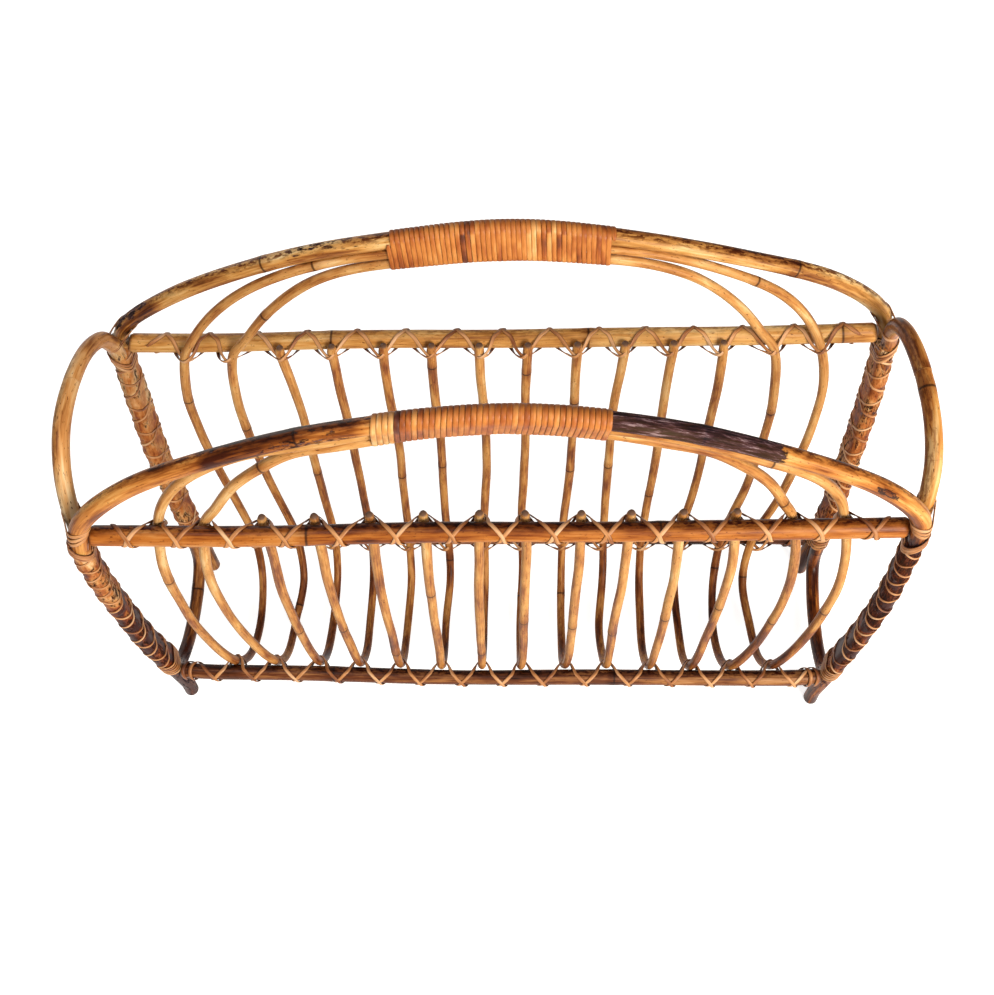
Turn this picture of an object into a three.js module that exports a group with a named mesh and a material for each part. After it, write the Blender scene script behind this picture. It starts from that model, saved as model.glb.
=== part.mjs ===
// Rattan magazine rack: an open cradle of bent canes, lashed together with split cane.
// Millimetres, +Z up, +X along the rack. The origin is on the floor under its middle.
// Each side view below is drawn for the front half, and the back half is the same half turned about Z.

import * as THREE from 'three';

// Canes and the split cane that binds them
const legCaneRadius = 4.9;
const hoopCaneRadius = 4.6;
const topRailRadius = 5.6;
const bottomRailRadius = 5.2;
const ribRadius = 3;
const bindingWidth = 2.4;
const bindingThickness = 1;
const stripThickness = 1.1;
const stripGap = 0.65;

// Clearances where one piece lies on another
const seatGap = 0.3;
const bundleGap = 0.7;
const bindingGap = 0.35;
const wrapGap = 0.5;

// The cradle
const railHeight = 257;
const railSpacing = 134;
const bundleSpacing = 460;
const bundleBulge = 8;
const bundleTurn = THREE.MathUtils.degToRad(38);
const footSpread = 104;
const footStraight = 12;
const hoopRise = 40;
const ribCount = 14;
const ribPitch = 28.9;
const ribBulge = 8;
const pegRise = 8;
const bottomRailBend = 26;

// The handles, which the outer four ribs rise to meet
const handleRise = 98;
const handleLean = THREE.MathUtils.degToRad(5.8);
const stackTilt = THREE.MathUtils.degToRad(20);
const gripLength = 117;
const gripTurns = 24;
const gripGap = 0.55;
const buttGap = 0.8;
const legWrapTurns = 8;
const legWrapSetback = 4;

// Sides of the round canes and steps between two points of a bend
const thickSides = 8;
const ribSides = 6;
const bendSteps = 2;

// A corner bundle in the end view, from the top rail down: shares of half the rail spacing and of the rail height
const bundleShares = [[1, 1], [0.985, 0.82], [0.94, 0.62], [0.865, 0.38], [0.765, 0.19]];
// The hoop below the bundles, in the same shares, and above them in shares of the hoop's rise
const hoopFootShares = [[0.63, 0.09], [0.35, 0.054], [0, 0.043]];
const hoopTopShares = [[0, 1], [0.4, 0.9], [0.68, 0.64], [0.84, 0.3]];
// A rib in the end view, from its seat on the top rail down to its middle: shares of the seat's reach and height
const ribShares = [[1, 1], [1.018, 0.66], [0.985, 0.39], [0.835, 0.163], [0.516, 0.072], [0, 0.037]];
const ribSeatIndex = 3;
// A bottom rail's end, from its middle line to the leg: shares of the bend's length and of its offset
const railBendShares = [[0, 0], [0.35, 0.2], [0.7, 0.65], [1, 1]];
// A handle from the corner to its middle: shares of the leg's reach and of the handle's rise
const handleShares = [[0.983, 0.13], [0.852, 0.4], [0.628, 0.668], [0.359, 0.878], [0, 1]];
// Where the outer ribs lie against the handle: shares of the leg's reach, from where each one joins to the middle
const outerStackShares = [0.6, 0.42, 0.2, 0];
const innerStackShares = [0.38, 0.2, 0];
// An outer rib's free stretch above the rail: shares of its place on the rail and of the handle's rise
const outerArchShares = [[0.97, 0.153], [0.911, 0.306], [0.831, 0.45]];
const innerArchShares = [[0.963, 0.122], [0.887, 0.327], [0.773, 0.49], [0.665, 0.607]];
// The binding where it climbs from the rail over a rib: shares of the rib's radius, and of the rail's reach
const shoulderShare = 0.8;
const crestShare = 1.32;
const shoulderHeightShare = 0.35;
const shoulderLiftShare = 0.6;
const edgeFacingShare = 0.2;

const caneLook = { color: 0xc98a3c, roughness: 0.5, metalness: 0 };
const railLook = { color: 0xa9642c, roughness: 0.45, metalness: 0 };
const ribLook = { color: 0xbf7f3a, roughness: 0.55, metalness: 0 };
const legLook = { color: 0xb4742f, roughness: 0.5, metalness: 0 };
const gripLook = { color: 0xd2812f, roughness: 0.55, metalness: 0 };
const bindingLook = { color: 0xdba55c, roughness: 0.6, metalness: 0 };

const halfSpacing = railSpacing / 2;
const bundleReach = bundleSpacing / 2;
const legOffset = legCaneRadius + bundleGap / 2;
const hoopOffset = hoopCaneRadius + bundleGap / 2;
const legReach = bundleReach - legOffset * Math.cos(bundleTurn);
const ribReach = halfSpacing - topRailRadius - seatGap - ribRadius;
const outerRibPlace = ribPitch * (ribCount - 1) / 2;
const gripPitch = gripLength / gripTurns;
const stripWidth = gripPitch - stripGap;
const outerDepth = legCaneRadius + seatGap + ribRadius;
const innerDepth = outerDepth + 2 * ribRadius + seatGap;
const handleCane = handlePath();
const rightLegFirst = handleCane.map(mirrored);
const hoopCane = hoopPath();
const ribCanes = Array.from({ length: ribCount }, (unused, index) => ribPath(index));
const rails = { top: topRail(), bottom: bottomRail() };

function bulgeAt(height, bulge) {
  return bulge * Math.sin(Math.PI * height / railHeight);
}

function smoothPath(controls, closed = false) {
  const curve = new THREE.CatmullRomCurve3(controls, closed, 'centripetal');
  const spans = closed ? controls.length : controls.length - 1;
  const points = curve.getPoints(spans * bendSteps);
  if (closed) points.pop();
  return points;
}

function tangentAt(path, index, closed) {
  const last = path.length - 1;
  const before = index > 0 ? path[index - 1] : path[closed ? last : 0];
  const after = index < last ? path[index + 1] : path[closed ? 0 : last];
  return after.clone().sub(before).normalize();
}

// The two triangles of a side face, split so that the face bows outwards, or inwards where it lies on a cane
function splitFace(vertex, [a, b, c, d], inwards) {
  const [from, over, beyond, beside] = [a, d, c, b].map(vertex);
  const normal = over.sub(from).cross(beyond.sub(from));
  const bowsOut = normal.dot(beside.sub(from)) < 0;
  return bowsOut !== inwards ? [a, d, c, a, c, b] : [a, d, b, b, d, c];
}

// Sweeps a section, given as [across, out] pairs, along a path whose points each have an outward direction
function sweep(path, outward, section, closed = false, innerSide = -1) {
  const corners = [];
  path.forEach((point, index) => {
    const tangent = tangentAt(path, index, closed);
    const across = new THREE.Vector3().crossVectors(tangent, outward[index]).normalize();
    const out = new THREE.Vector3().crossVectors(across, tangent);
    for (const [side, rise] of section) {
      corners.push(point.clone().addScaledVector(across, side).addScaledVector(out, rise));
    }
  });
  const vertex = (index) => corners[index].clone();
  const sides = section.length;
  const rings = path.length;
  const faces = [];
  for (let ring = 0; ring < (closed ? rings : rings - 1); ring += 1) {
    const here = ring * sides;
    const next = ((ring + 1) % rings) * sides;
    for (let side = 0; side < sides; side += 1) {
      const beside = (side + 1) % sides;
      const face = [here + side, here + beside, next + beside, next + side];
      faces.push(...splitFace(vertex, face, side === innerSide));
    }
  }
  const end = (rings - 1) * sides;
  for (let side = 1; side < sides - 1 && !closed; side += 1) {
    faces.push(0, side, side + 1);
    faces.push(end, end + side + 1, end + side);
  }
  const geometry = new THREE.BufferGeometry();
  geometry.setAttribute('position', new THREE.Float32BufferAttribute(corners.flatMap((c) => c.toArray()), 3));
  geometry.setIndex(faces);
  geometry.computeVertexNormals();
  return geometry;
}

// A round cane: the section's zero direction is carried along the path without twist
function caneGeometry(path, radius, sides, closed = false) {
  const outward = [closed ? new THREE.Vector3(1, 0, 0) : new THREE.Vector3(0, 1, 0)];
  for (let index = 1; index < path.length; index += 1) {
    const tangent = tangentAt(path, index, closed);
    const carried = outward[index - 1].clone();
    outward.push(carried.addScaledVector(tangent, -carried.dot(tangent)).normalize());
  }
  const section = [];
  for (let side = 0; side < sides; side += 1) {
    const angle = 2 * Math.PI * side / sides;
    section.push([radius * Math.cos(angle), radius * Math.sin(angle)]);
  }
  return sweep(path, outward, section, closed);
}

// Split cane: flat on the side that lies on the canes, with a low ridge outside
function bandGeometry(path, outward, width, thickness) {
  return sweep(path, outward, [[-width / 2, 0], [width / 2, 0], [0, thickness]], false, 0);
}

function makeMesh(name, geometry, look) {
  const material = new THREE.MeshStandardMaterial(look);
  const mesh = new THREE.Mesh(geometry, material);
  mesh.name = name;
  return mesh;
}

// The least distance between the edges of a band's turns, measured between points half a turn or more apart
function leastGap(path, outward, width, pointsPerTurn) {
  const edges = path.map((point, index) => {
    const tangent = tangentAt(path, index, false);
    const across = new THREE.Vector3().crossVectors(tangent, outward[index]).normalize();
    return [-1, 1].map((side) => point.clone().addScaledVector(across, side * width / 2));
  });
  let least = Infinity;
  for (let first = 0; first < edges.length; first += 1) {
    for (let second = first + Math.ceil(pointsPerTurn / 2); second < edges.length; second += 1) {
      for (const near of edges[first]) {
        for (const far of edges[second]) least = Math.min(least, near.distanceTo(far));
      }
    }
  }
  return least;
}

// A line beside the middle line of a corner bundle: the leg lies to the outside and the front, the hoop opposite
function bundleControls(offset) {
  const middle = bundleShares.map(([reachShare, heightShare]) => {
    const height = heightShare * railHeight;
    return new THREE.Vector3(bundleReach + bulgeAt(height, bundleBulge), -reachShare * halfSpacing, height);
  });
  return middle.map((point, index) => {
    const tangent = tangentAt(middle, index, false);
    const inward = new THREE.Vector3(0, -tangent.z, tangent.y).normalize();
    const across = new THREE.Vector3(Math.cos(bundleTurn), 0, 0).addScaledVector(inward, Math.sin(bundleTurn));
    return point.clone().addScaledVector(across, offset);
  });
}

function mirrored(point) {
  return new THREE.Vector3(-point.x, point.y, point.z);
}

function turnedBack(point) {
  return new THREE.Vector3(point.x, -point.y, point.z);
}

function withBackHalf(front) {
  return [...front, ...front.slice(0, -1).reverse().map(turnedBack)];
}

// The front handle and its legs: one cane from foot to foot
function handlePath() {
  const leg = bundleControls(-legOffset);
  const rise = handleShares.map(([reachShare, riseShare]) => {
    const lean = riseShare * handleRise * Math.tan(handleLean) + leg[0].y;
    return new THREE.Vector3(reachShare * legReach, lean, railHeight + riseShare * handleRise);
  });
  const ankleReach = legReach + bulgeAt(footStraight, bundleBulge);
  const ankle = new THREE.Vector3(ankleReach, -footSpread / 2, footStraight);
  const half = [ankle, ...leg.reverse(), ...rise];
  const path = smoothPath([...half.map(mirrored), ...half.slice(0, -1).reverse()]);
  return [path[0].clone().setZ(0), ...path, path[path.length - 1].clone().setZ(0)];
}

// The right hoop: a closed ring that runs beside both right legs
function hoopPath() {
  const topReach = bundleReach + hoopOffset * Math.cos(bundleTurn);
  const top = hoopTopShares.map(([reachShare, riseShare]) => (
    new THREE.Vector3(topReach, -reachShare * halfSpacing, railHeight + riseShare * hoopRise)
  ));
  const foot = hoopFootShares.map(([reachShare, heightShare]) => {
    const height = heightShare * railHeight;
    return new THREE.Vector3(topReach + bulgeAt(height, bundleBulge), -reachShare * halfSpacing, height);
  });
  const front = [...top, ...bundleControls(hoopOffset), ...foot];
  const back = front.slice(1, -1).reverse().map(turnedBack);
  return smoothPath([...front, ...back], true);
}

// The front half of a rib, from its seat on the top rail to its middle
function ribHalfControls(place) {
  const bulge = ribBulge * Math.sign(place) * (place / outerRibPlace) ** 2;
  return ribShares.map(([reachShare, heightShare]) => {
    const height = heightShare * railHeight;
    return new THREE.Vector3(place + bulgeAt(height, bulge), -reachShare * ribReach, height);
  });
}

function shortRibPath(place) {
  const path = smoothPath(withBackHalf(ribHalfControls(place)));
  const peg = path[0].clone();
  peg.z += pegRise;
  return [peg, ...path, turnedBack(peg)];
}

function pointAt(path, axis, value, above) {
  for (let index = 0; index < path.length - 1; index += 1) {
    const [from, to] = [path[index], path[index + 1]];
    const between = (from[axis] - value) * (to[axis] - value) <= 0 && from[axis] !== to[axis];
    if (between && (from.z + to.z) / 2 > above) {
      const point = from.clone().lerp(to, (value - from[axis]) / (to[axis] - from[axis]));
      return { point, tangent: to.clone().sub(from).normalize() };
    }
  }
  throw new Error(`The path has no point where ${axis} is ${value}`);
}

// A place under the front handle, square to its bend and tilted inwards
function stackPoint(place, depth) {
  const handle = pointAt(handleCane, 'x', place, railHeight);
  const square = new THREE.Vector3(-handle.tangent.z, 0, handle.tangent.x).normalize();
  const down = square.multiplyScalar(-Math.sign(square.z));
  const inward = new THREE.Vector3(0, 1, 0);
  const away = down.multiplyScalar(Math.cos(stackTilt)).addScaledVector(inward, Math.sin(stackTilt));
  return handle.point.addScaledVector(away, depth);
}

// An outer rib rises past both top rails and ends under the middle of each grip
function longRibPath(place, archShares, stackShares, depth) {
  const side = Math.sign(place);
  const stack = stackShares.map((share) => stackPoint(side * share * legReach, depth));
  stack[stack.length - 1].x = side * buttGap / 2;
  const arch = archShares.map(([reachShare, riseShare]) => {
    const lean = THREE.MathUtils.lerp(-ribReach, stack[0].y, riseShare);
    return new THREE.Vector3(reachShare * place, lean, railHeight + riseShare * handleRise);
  });
  const seats = ribHalfControls(place);
  return smoothPath(withBackHalf([...stack.reverse(), ...arch.reverse(), ...seats]));
}

function ribPath(index) {
  const place = (index - (ribCount - 1) / 2) * ribPitch;
  const fromEnd = Math.min(index, ribCount - 1 - index);
  if (fromEnd === 0) return longRibPath(place, outerArchShares, outerStackShares, outerDepth);
  if (fromEnd === 1) return longRibPath(place, innerArchShares, innerStackShares, innerDepth);
  return shortRibPath(place);
}

// Where the front half of a rib lies on a rail: the nearest point of its path to the seat's height
function ribSeat(path, height) {
  let seat = 0;
  const front = path.slice(0, (path.length + 1) / 2);
  front.forEach((point, index) => {
    if (Math.abs(point.z - height) < Math.abs(front[seat].z - height)) seat = index;
  });
  return { point: path[seat], tangent: tangentAt(path, seat, false) };
}

// Where a rail's cut end stops short of the leg that it butts against
function railEnd(height, radius) {
  const reaches = [height - radius, height + radius].map((z) => pointAt(rightLegFirst, 'z', z, 0).point.x);
  return Math.min(...reaches) - legCaneRadius - seatGap;
}

// The front top rail and the front bottom rail, each outside the ribs that cross it
function topRail() {
  const reach = railEnd(railHeight, topRailRadius);
  const line = [-reach, reach].map((x) => new THREE.Vector3(x, -halfSpacing, railHeight));
  const seats = ribCanes.map((path) => ribSeat(path, railHeight));
  return { radius: topRailRadius, line, seats, inward: new THREE.Vector3(0, 1, 0) };
}

function bottomRail() {
  const height = ribShares[ribSeatIndex][1] * railHeight;
  const seats = ribCanes.map((path) => ribSeat(path, height));
  const { point, tangent } = seats[Math.floor(ribCount / 2)];
  const inward = new THREE.Vector3(0, -tangent.z, tangent.y).normalize();
  const middle = point.clone().addScaledVector(inward, -(ribRadius + seatGap + bottomRailRadius));
  const leg = pointAt(rightLegFirst, 'z', middle.z, 0).point;
  const end = new THREE.Vector3(railEnd(middle.z, bottomRailRadius), leg.y, middle.z);
  const bend = railBendShares.map(([lengthShare, offsetShare]) => {
    const place = end.x - bottomRailBend * (1 - lengthShare);
    return new THREE.Vector3(place, THREE.MathUtils.lerp(middle.y, end.y, offsetShare), end.z);
  });
  const line = [...bend.map(mirrored).reverse(), ...bend];
  return { radius: bottomRailRadius, line, seats, inward };
}

// One of the two strands that bind the ribs to a rail: it crosses outside between ribs and inside on each rib
function strandPath(rail, hand, lift) {
  const around = (rail.radius + bindingGap) / Math.cos(Math.PI / thickSides);
  const corner = around * Math.SQRT1_2;
  const seat = rail.radius + seatGap + ribRadius;
  const shoulder = seat + shoulderShare * ribRadius + shoulderLiftShare * lift;
  const crest = seat + crestShare * ribRadius + lift;
  const up = new THREE.Vector3(1, 0, 0).cross(rail.inward);
  const points = [];
  const outward = [];
  const add = (x, tilt, inward, rise, facing) => {
    const place = x + tilt * rise;
    const limit = rail.line[rail.line.length - 1].x;
    const axis = pointAt(rail.line, 'x', THREE.MathUtils.clamp(place, -limit, limit), 0).point;
    axis.x = place;
    points.push(axis.addScaledVector(rail.inward, inward).addScaledVector(up, rise));
    outward.push(rail.inward.clone().multiplyScalar(facing[1]).addScaledVector(up, facing[2]).setX(facing[0]));
  };
  const middle = (x, sense) => {
    add(x - sense * ribPitch / 8, 0, -corner, -sense * hand * corner, [0, -1, -sense * hand]);
  };
  const outside = (x) => add(x, 0, -around - lift, 0, [0, -1, 0]);
  const end = rail.line[rail.line.length - 1].x - bindingGap;
  const beside = ribPitch / 2;
  const seatPlaces = rail.seats.map(({ point }) => point.x);
  const firstOutside = seatPlaces[0] - beside;
  const lastOutside = seatPlaces[seatPlaces.length - 1] + beside;
  const beyond = rail.line.slice(1, -1).map(({ x }) => x).filter((x) => x > lastOutside + ribPitch / 4);
  for (const x of [end, ...beyond.toReversed()]) add(-x, 0, -corner, -hand * corner, [0, -1, -hand]);
  middle(firstOutside, 1);
  outside(firstOutside);
  rail.seats.forEach(({ point, tangent }, index) => {
    const tilt = tangent.x / tangent.dot(up);
    const before = index > 0 ? (seatPlaces[index - 1] + point.x) / 2 : firstOutside;
    const after = index < seatPlaces.length - 1 ? (point.x + seatPlaces[index + 1]) / 2 : lastOutside;
    middle(before, -1);
    for (const sense of [-1, 1]) {
      const rise = -sense * hand;
      const edge = [point.x + sense * ribPitch / 4, tilt, 0, rise * around, [0, edgeFacingShare, rise]];
      const step = point.x + sense * (ribRadius + bindingWidth / 2 + bindingGap);
      const climb = [step, tilt, shoulder, rise * shoulderHeightShare * around, [sense, 2, rise]];
      if (sense < 0) {
        add(...edge);
        add(...climb);
        add(point.x, tilt, crest, 0, [0, 1, 0]);
      } else {
        add(...climb);
        add(...edge);
      }
    }
    middle(after, 1);
    outside(after);
  });
  middle(lastOutside, -1);
  for (const x of [...beyond, end]) add(x, 0, -corner, hand * corner, [0, -1, hand]);
  return { points, outward, perTurn: points.length / ribCount };
}

// The closed winding round a handle and the two arched ribs under it
function gripPath() {
  const around = (legCaneRadius + gripGap) / Math.cos(Math.PI / thickSides);
  const corner = around * Math.SQRT1_2;
  const below = innerDepth + ribRadius + gripGap;
  const outline = [
    [ribRadius, below, 1, 1],
    [-ribRadius, below, -1, 1],
    [-around, 0, -1, 0],
    [-corner, -corner, -1, -1],
    [0, -around, 0, -1],
    [corner, -corner, 1, -1],
    [around, 0, 1, 0],
  ];
  const inner = ribCanes[1];
  const points = [];
  const outward = [];
  const add = (turn, [side, down, facingSide, facingDown]) => {
    const place = gripLength * (turn / gripTurns) - gripLength / 2;
    const handle = pointAt(handleCane, 'x', place, railHeight).point;
    const under = pointAt(inner, 'x', -Math.abs(place) - buttGap, railHeight).point;
    under.x = place;
    const away = under.sub(handle).normalize();
    const beside = new THREE.Vector3(1, 0, 0).cross(away);
    points.push(handle.addScaledVector(beside, side).addScaledVector(away, down));
    outward.push(beside.multiplyScalar(facingSide).addScaledVector(away, facingDown));
  };
  const betweenEnds = (first, second) => first.map((value, index) => (value + second[index]) / 2);
  const tuck = betweenEnds(outline[outline.length - 1], outline[0]);
  add(0, tuck);
  for (let turn = 0; turn < gripTurns; turn += 1) {
    outline.forEach((stop, index) => add(turn + (index + 1 / 2) / outline.length, stop));
  }
  add(gripTurns, tuck);
  return { points, outward, perTurn: outline.length };
}

// The open spiral round a leg and the hoop beside it, on the right or the left of the front
function legWrapPath(side) {
  const top = railHeight - topRailRadius - legWrapSetback;
  const bottom = rails.bottom.line[0].z + bottomRailRadius + legWrapSetback;
  const flank = legCaneRadius + wrapGap;
  const tip = new THREE.Vector2(flank, hoopCaneRadius + wrapGap).divideScalar(Math.cos(Math.PI / 6));
  const outline = [
    [1, tip.y / 2, -flank, 1 / 2, -1],
    [1, tip.y, 0, 1, 0],
    [1, tip.y / 2, flank, 1 / 2, 1],
    [0, -tip.x / 2, flank, -1 / 2, 1],
    [0, -tip.x, 0, -1, 0],
    [0, -tip.x / 2, -flank, -1 / 2, -1],
  ];
  const points = [];
  const outward = [];
  const add = (turn, [onHoop, out, inwards, facingOut, facingIn]) => {
    const height = THREE.MathUtils.lerp(top, bottom, turn / legWrapTurns);
    const leg = pointAt(rightLegFirst, 'z', height, 0);
    const upwards = leg.tangent.multiplyScalar(Math.sign(leg.tangent.z));
    const inward = new THREE.Vector3(0, upwards.z, -upwards.y).normalize();
    const apart = (legOffset + hoopOffset) * Math.sin(bundleTurn);
    const hoop = pointAt(hoopCane, 'z', leg.point.z + apart * inward.z, 0);
    const across = hoop.point.clone().sub(leg.point).normalize();
    const square = new THREE.Vector3().crossVectors(upwards, across).normalize();
    const point = leg.point.lerp(hoop.point, onHoop);
    point.addScaledVector(across, out).addScaledVector(square, inwards);
    point.x *= side;
    const facing = across.multiplyScalar(facingOut).addScaledVector(square, facingIn);
    facing.x *= side;
    points.push(point);
    outward.push(facing);
  };
  const tuck = outline[0].map((value, index) => (value + outline[outline.length - 1][index]) / 2);
  add(0, tuck);
  for (let turn = 0; turn < legWrapTurns; turn += 1) {
    outline.forEach((stop, index) => add(turn + (index + 1 / 2) / outline.length, stop));
  }
  add(legWrapTurns, tuck);
  return { points, outward, perTurn: outline.length };
}

function bandMesh(name, { points, outward, perTurn }, width, thickness, look) {
  console.log(`${name}: least gap to itself ${leastGap(points, outward, width, perTurn).toFixed(2)}`);
  return makeMesh(name, bandGeometry(points, outward, width, thickness), look);
}

function railMeshes(level, side) {
  const rail = rails[level];
  const lift = bindingThickness + bindingGap;
  const strands = [['a', 1, 0], ['b', -1, lift]].map(([letter, hand, raised]) => {
    const name = `lashing_${level}_${side}_${letter}`;
    return bandMesh(name, strandPath(rail, hand, raised), bindingWidth, bindingThickness, bindingLook);
  });
  const cane = caneGeometry(rail.line, rail.radius, thickSides);
  return [makeMesh(`rail_${level}_${side}`, cane, railLook), ...strands];
}

// All that belongs to one long side, drawn as the front one: its right end is the back one's left
function longSide(side, right, left) {
  const group = new THREE.Group();
  group.add(makeMesh(`handle_${side}`, caneGeometry(handleCane, legCaneRadius, thickSides), legLook));
  group.add(bandMesh(`grip_wrap_${side}`, gripPath(), stripWidth, stripThickness, gripLook));
  for (const [end, sense] of [[right, 1], [left, -1]]) {
    const name = `leg_wrap_${side}_${end}`;
    group.add(bandMesh(name, legWrapPath(sense), bindingWidth, bindingThickness, bindingLook));
  }
  for (const level of ['top', 'bottom']) group.add(...railMeshes(level, side));
  return group;
}

function ribMeshes() {
  return ribCanes.map((path, index) => {
    const number = String(index + 1).padStart(2, '0');
    return makeMesh(`rib_${number}`, caneGeometry(path, ribRadius, ribSides), ribLook);
  });
}

function hoopMesh(end) {
  return makeMesh(`hoop_${end}`, caneGeometry(hoopCane, hoopCaneRadius, thickSides, true), caneLook);
}

const front = longSide('front', 'right', 'left');
const back = longSide('back', 'left', 'right');
back.rotation.z = Math.PI;
const hoopRight = hoopMesh('right');
const hoopLeft = hoopMesh('left');
hoopLeft.rotation.z = Math.PI;

const rack = new THREE.Group();
rack.add(front, back, hoopRight, hoopLeft, ...ribMeshes());

export default rack;
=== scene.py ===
from functools import partial
from math import atan2, copysign, cos, exp, hypot, pi, radians, sin, tan

import bmesh
import bpy
import numpy as np
from mathutils import Euler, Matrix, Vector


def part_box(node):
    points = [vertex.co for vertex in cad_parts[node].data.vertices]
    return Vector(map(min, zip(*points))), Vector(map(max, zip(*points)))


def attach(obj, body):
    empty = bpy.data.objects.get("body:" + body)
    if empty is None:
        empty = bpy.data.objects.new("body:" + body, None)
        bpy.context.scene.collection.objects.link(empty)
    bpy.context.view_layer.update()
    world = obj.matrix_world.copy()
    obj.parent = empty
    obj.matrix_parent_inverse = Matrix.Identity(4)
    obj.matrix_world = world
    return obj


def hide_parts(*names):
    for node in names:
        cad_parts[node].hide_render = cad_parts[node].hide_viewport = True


# A rattan magazine rack. Lengths are in millimetres until a mesh is made.
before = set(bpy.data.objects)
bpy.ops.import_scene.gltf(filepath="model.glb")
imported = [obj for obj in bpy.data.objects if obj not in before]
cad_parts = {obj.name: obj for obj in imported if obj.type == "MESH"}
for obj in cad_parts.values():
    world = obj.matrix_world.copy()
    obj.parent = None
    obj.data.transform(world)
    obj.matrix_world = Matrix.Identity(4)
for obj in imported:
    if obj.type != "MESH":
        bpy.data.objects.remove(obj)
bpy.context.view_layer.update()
mm = 0.001
print("frame loaded:", len(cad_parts), "nodes")
# the sign that turns a piece round to each side and each end
sideSigns = {"front": 1, "back": -1}
endSigns = {"right": 1, "left": -1}


def middleAndRadius(node):
    # a round cane that lies along X gives its line and its radius
    low, high = np.array(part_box(node)) / mm
    return (low + high) / 2, (high[2] - low[2]) / 2


topRailMiddle, topRailRadius = middleAndRadius("rail_top_front")
railHeight = topRailMiddle[2]
halfSpacing = -topRailMiddle[1]

# What the whole rack shares. Shares are of a reach and a height, from the solids and then the photograph.
rack = {
    "cornerSpacing": 460, "cornerBulge": 6.5, "cornerGap": 0.7,
    "cornerTurn": {"front": radians(74), "back": radians(82)},
    "hoopOut": {"left": 7.5, "right": -0.4}, "hoopRise": 40,
    "legRadius": 4.9, "hoopRadius": 4.6, "ribRadius": 3, "bottomRailRadius": 5.2,
    "footSpread": 104, "footStraight": 12, "seatGap": 0.3,
    "ribCount": 14, "ribPitch": 28.9, "ribBulge": 7, "outerBulge": 5, "pegRise": 5.2,
    "handleRise": 98, "handleLean": radians(5.8), "bottomRailBend": 26,
    # how far the arch ribs turn inwards below the middle of each handle, and how fast that fades outwards
    "stackTilt": {"front": radians(14), "back": radians(26)}, "tiltFade": 2.8, "stackGap": 0.5,
}
legRadius, hoopRadius, ribRadius, seatGap = [rack[key] for key in (
    "legRadius", "hoopRadius", "ribRadius", "seatGap")]
handleRise, ribCount, ribPitch = rack["handleRise"], rack["ribCount"], rack["ribPitch"]
cornerShares = [(1, 1), (0.985, 0.82), (0.94, 0.62), (0.865, 0.38), (0.765, 0.19)]
hoopFootShares = [(0.63, 0.09), (0.35, 0.054), (0, 0.043)]
hoopTopShares = [(0, 1), (0.4, 0.9), (0.68, 0.64), (0.84, 0.3)]
ribShares = [(1, 1), (1.013, 0.84), (1.018, 0.66), (0.985, 0.39), (0.835, 0.163), (0.516, 0.072), (0, 0.037)]
railBendShares = [(0, 0), (0.35, 0.2), (0.7, 0.65), (1, 1)]
handleShares = [(0.983, 0.13), (0.852, 0.4), (0.628, 0.668), (0.359, 0.878), (0, 1)]
outerStackShares, innerStackShares = [0.4, 0.2, 0], [0.36, 0.18, 0]
outerArchShares = [(0.97, 0.153), (0.911, 0.325), (0.831, 0.475), (0.69, 0.635)]
innerArchShares = [(0.955, 0.122), (0.874, 0.33), (0.76, 0.52), (0.65, 0.647)]

cornerReach = rack["cornerSpacing"] / 2
legOffset = legRadius + rack["cornerGap"] / 2
hoopOffset = hoopRadius + rack["cornerGap"] / 2
ribReach = halfSpacing - topRailRadius - seatGap - ribRadius
outerRibPlace = ribPitch * (ribCount - 1) / 2
outerDepth = legRadius + seatGap + ribRadius
innerDepth = outerDepth + 2 * ribRadius + seatGap


# Curves

def unit(vectors):
    vectors = np.asarray(vectors, float)
    return vectors / np.maximum(np.linalg.norm(vectors, axis=-1, keepdims=True), 1e-9)


def smoothPath(controls, closed=False, perSpan=24):
    # a centripetal curve through the points
    points = np.array(controls, float)
    if closed:
        padded = np.vstack([points[-1:], points, points[:2]])
    else:
        padded = np.vstack([2 * points[0] - points[1], points, 2 * points[-1] - points[-2]])
    steps = np.arange(perSpan)[:, None] / perSpan
    spans = []
    for first in range(len(padded) - 3):
        p = padded[first:first + 4]
        gaps = np.maximum(np.linalg.norm(np.diff(p, axis=0), axis=1), 1e-6)
        knots = np.concatenate([[0], np.cumsum(gaps ** 0.5)])
        t = knots[1] + (knots[2] - knots[1]) * steps

        def between(a, b, low, high):
            return a * (high - t) / (high - low) + b * (t - low) / (high - low)

        a = [between(p[k], p[k + 1], knots[k], knots[k + 1]) for k in range(3)]
        b = [between(a[k], a[k + 1], knots[k], knots[k + 2]) for k in range(2)]
        spans.append(between(b[0], b[1], knots[1], knots[2]))
    path = np.vstack(spans)
    return path if closed else np.vstack([path, points[-1:]])


def lengthAlong(path):
    return np.concatenate([[0], np.cumsum(np.linalg.norm(np.diff(path, axis=0), axis=1))])


def sampled(wanted, place, values):
    # values carried along a path, read off at the wanted places
    return np.stack([np.interp(wanted, place, column) for column in values.T], axis=1)


def evenly(path, step, closed=False, *others):
    # the same path with evenly spaced points, and other values carried along it
    if closed:
        path = np.vstack([path, path[:1]])
        others = [np.vstack([o, o[:1]]) for o in others]
    place = lengthAlong(path)
    count = max(int(round(place[-1] / step)), 2)
    wanted = np.linspace(0, place[-1], count + 1)[:count if closed else None]
    result = [sampled(wanted, place, values) for values in (path, *others)]
    return result if others else result[0]


def tangents(path, closed=False):
    if closed:
        return unit(np.roll(path, -1, axis=0) - np.roll(path, 1, axis=0))
    return unit(np.gradient(path, axis=0))


def mirrored(points):
    return np.array(points, float) * (-1, 1, 1)


def turnedBack(points):
    return np.array(points, float) * (1, -1, 1)


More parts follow.
